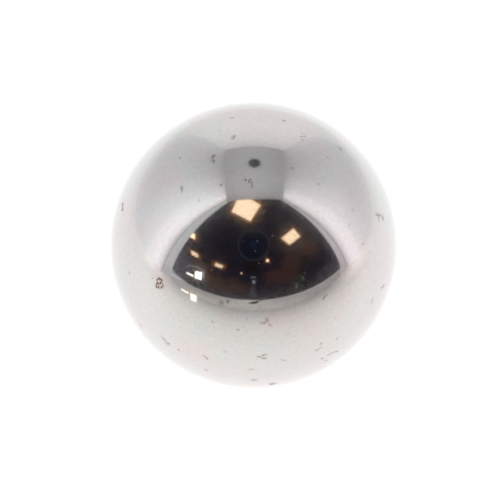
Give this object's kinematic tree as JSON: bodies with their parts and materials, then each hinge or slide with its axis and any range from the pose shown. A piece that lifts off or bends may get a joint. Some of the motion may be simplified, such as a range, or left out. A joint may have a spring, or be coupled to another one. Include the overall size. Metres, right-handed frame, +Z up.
{
  "type": "steel ball",
  "caption": "Solid mirror-polished steel ball with small corrosion pits in its surface, for rolling, bearing or use as a small weight.",
  "frame": {"origin": "centre of the ball", "axes": "+Z up, -Y the front of the ball as it lies, +X to its right; the true surface is the same about every axis"},
  "size_m": [0.027, 0.027, 0.027],
  "materials": {
    "polished_steel": "hardened steel, ground and lapped to a mirror, with dark rusted pits"
  },
  "bodies": {
    "root": {"ball": "polished_steel"}
  },
  "joints": []
}
